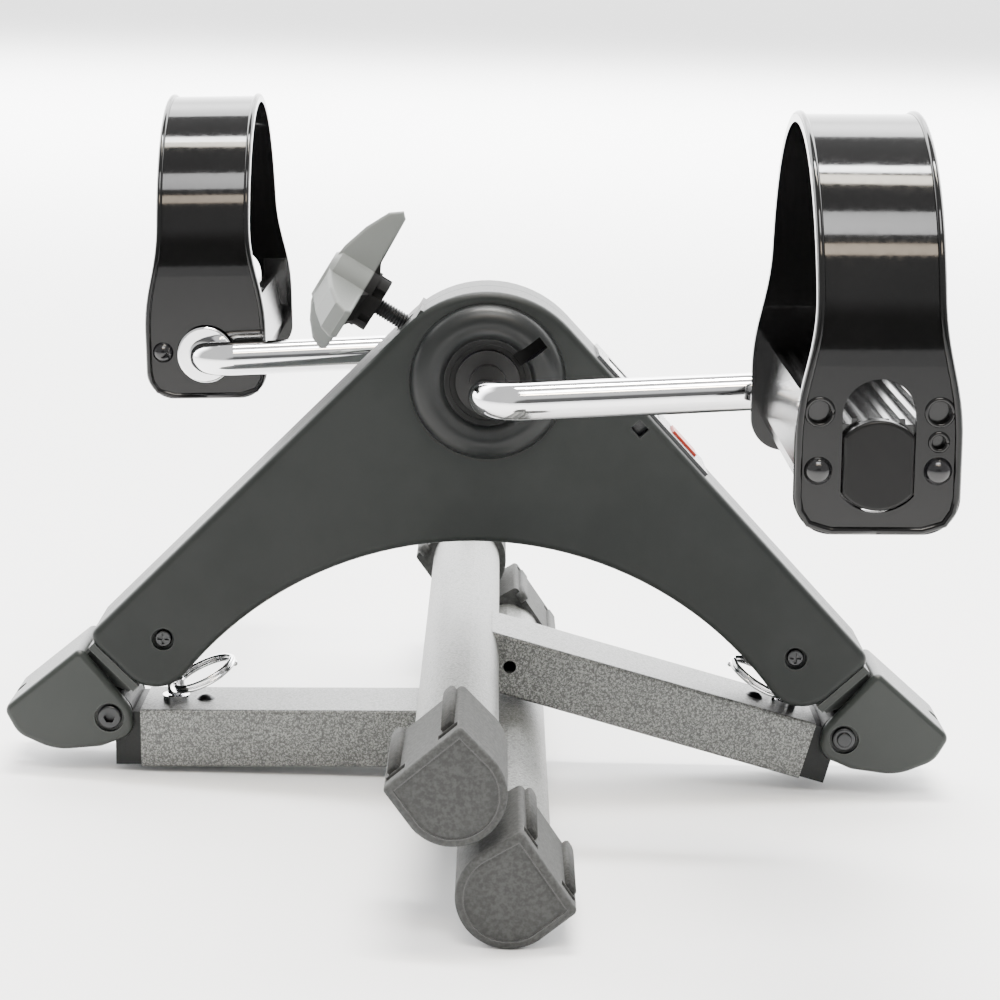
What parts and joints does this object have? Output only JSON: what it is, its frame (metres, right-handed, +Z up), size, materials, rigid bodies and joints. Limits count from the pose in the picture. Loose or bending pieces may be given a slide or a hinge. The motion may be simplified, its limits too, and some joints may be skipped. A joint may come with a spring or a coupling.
{
  "type": "pedal exerciser",
  "caption": "Folding pedal exerciser: arched housing with a bent crank, strapped pedals, a tension knob, a small display and legs folded underneath.",
  "frame": {"origin": "on the surface the folded unit stands on, below the crank axis, midway between the leg hinges", "axes": "+Z up; X runs from the left leg hinge to the right one; Y runs along the crank axis, from the front pedal to the rear pedal"},
  "size_m": [0.3172, 0.3996, 0.2354],
  "materials": {
    "housing_plastic": "fine-textured charcoal moulding",
    "hub_plastic": "smooth dark satin moulding",
    "bracket_plastic": "fine-textured charcoal moulding with softened edges",
    "bush_plastic": "plain black low-friction plastic",
    "screw_steel": "zinc-plated steel",
    "chrome": "polished chrome plating",
    "drum_steel": "turned steel",
    "magnet": "nickel-plated magnet",
    "powder_coat": "silver-vein hammertone powder coat",
    "plug_plastic": "dark moulded plastic",
    "foot_rubber": "matte grey rubber",
    "pedal_plastic": "black moulding with a light sheen",
    "strap_plastic": "high-gloss black flexible plastic",
    "stud_plastic": "glossy black moulding",
    "cap_plastic": "satin black moulding",
    "knob_plastic": "dark grey moulding",
    "display_plastic": "smooth dark grey moulding",
    "lens": "clear window",
    "lcd": "grey-green liquid crystal panel",
    "board": "green circuit board",
    "cell": "stainless coin cell",
    "button": "red button",
    "brake_lining": "felt and rubber lining",
    "spring_steel": "spring steel"
  },
  "bodies": {
    "housing": {"front_housing_shell": "housing_plastic", "rear_housing_shell": "housing_plastic", "housing_screws": "screw_steel", "rear_hub_cover": "hub_plastic", "front_hub_cover": "hub_plastic", "rear_crank_bush": "bush_plastic", "front_crank_bush": "bush_plastic", "left_hinge_bracket": "bracket_plastic", "left_hinge_bolt": "screw_steel", "left_hinge_nut": "screw_steel", "right_hinge_bracket": "bracket_plastic", "right_hinge_bolt": "screw_steel", "right_hinge_nut": "screw_steel", "display_case": "display_plastic", "display_lens": "lens", "lcd_panel": "lcd", "circuit_board": "board", "coin_cell": "cell", "reed_sensor": "bush_plastic", "tension_nut": "screw_steel"},
    "mode_button": {"mode_button": "button"},
    "brake": {"brake_shoe": "bush_plastic", "brake_pad": "brake_lining"},
    "tension_knob": {"tension_knob": "knob_plastic", "tension_screw": "screw_steel"},
    "crank": {"crank_rod": "chrome", "friction_drum": "drum_steel", "sensor_magnet": "magnet", "thrust_washers": "bush_plastic", "flange_washers": "chrome", "axle_clips": "screw_steel"},
    "front_pedal": {"front_pedal_platform": "pedal_plastic", "front_pedal_strap": "strap_plastic", "front_pedal_axle_cap": "cap_plastic", "front_pedal_strap_studs": "stud_plastic"},
    "rear_pedal": {"rear_pedal_platform": "pedal_plastic", "rear_pedal_strap": "strap_plastic", "rear_pedal_axle_cap": "cap_plastic", "rear_pedal_strap_studs": "stud_plastic"},
    "left_leg": {"left_crossbar": "powder_coat", "left_stem": "powder_coat", "left_end_plug": "plug_plastic", "left_plug_rivet": "screw_steel", "left_pin_barrel": "chrome", "left_rear_foot_cap": "foot_rubber", "left_front_foot_cap": "foot_rubber", "left_pin_spring": "spring_steel"},
    "left_pin": {"left_pull_pin": "chrome"},
    "left_ring": {"left_pull_ring": "chrome"},
    "right_leg": {"right_crossbar": "powder_coat", "right_stem": "powder_coat", "right_end_plug": "plug_plastic", "right_plug_rivet": "screw_steel", "right_pin_barrel": "chrome", "right_rear_foot_cap": "foot_rubber", "right_front_foot_cap": "foot_rubber", "right_pin_spring": "spring_steel"},
    "right_pin": {"right_pull_pin": "chrome"},
    "right_ring": {"right_pull_ring": "chrome"}
  },
  "joints": [
    {"name": "crank_turn", "type": "hinge", "parent": "housing", "child": "crank", "pos_m": [0, 0, 0.13792], "axis": [0, 1, 0], "range_deg": [-50, 60]},
    {"name": "front_pedal_spin", "type": "hinge", "parent": "crank", "child": "front_pedal", "pos_m": [0.1023, -0.136, 0.1458], "axis": [0, 1, 0], "continuous": true},
    {"name": "rear_pedal_spin", "type": "hinge", "parent": "crank", "child": "rear_pedal", "pos_m": [-0.1023, 0.136, 0.13005], "axis": [0, 1, 0], "continuous": true},
    {"name": "left_leg_fold", "type": "hinge", "parent": "housing", "child": "left_leg", "pos_m": [-0.1237, 0, 0.01986], "axis": [0, 1, 0], "range_deg": [0, 136]},
    {"name": "right_leg_fold", "type": "hinge", "parent": "housing", "child": "right_leg", "pos_m": [0.1237, 0, 0.01986], "axis": [0, -1, 0], "range_deg": [0, 123]},
    {"name": "knob_turn", "type": "hinge", "parent": "brake", "child": "tension_knob", "pos_m": [-0.03897, 0, 0.16043], "axis": [-0.866, 0, 0.5], "range_deg": [0, 1081]},
    {"name": "brake_lift", "type": "slide", "parent": "housing", "child": "brake", "axis": [-0.866, 0, 0.5], "range_m": [0, 0.003]},
    {"name": "button_press", "type": "slide", "parent": "housing", "child": "mode_button", "axis": [-0.7193, 0, -0.6947], "range_m": [0, 0.0008], "stiffness_N_per_m": 800, "springref_m": -0.0005},
    {"name": "left_pin_pull", "type": "slide", "parent": "left_leg", "child": "left_pin", "axis": [-0.0279, 0, 0.9996], "range_m": [0, 0.0045], "stiffness_N_per_m": 600, "springref_m": -0.002, "deforming": ["left_pin_spring"]},
    {"name": "left_ring_swing", "type": "hinge", "parent": "left_pin", "child": "left_ring", "pos_m": [-0.10338, 0, 0.02672], "axis": [0, -1, 0], "range_deg": [-19, 19]},
    {"name": "right_pin_pull", "type": "slide", "parent": "right_leg", "child": "right_pin", "axis": [0.2521, 0, 0.9677], "range_m": [0, 0.0045], "stiffness_N_per_m": 600, "springref_m": -0.002, "deforming": ["right_pin_spring"]},
    {"name": "right_ring_swing", "type": "hinge", "parent": "right_pin", "child": "right_ring", "pos_m": [0.10545, 0, 0.03112], "axis": [0, 1, 0], "range_deg": [-8, 30]}
  ],
  "couplings": [
    {"joint": "right_leg_fold", "follows": "left_leg_fold", "ratio": 0.9},
    {"joint": "knob_turn", "follows": "brake_lift", "rad_per_m": 6283.2}
  ]
}
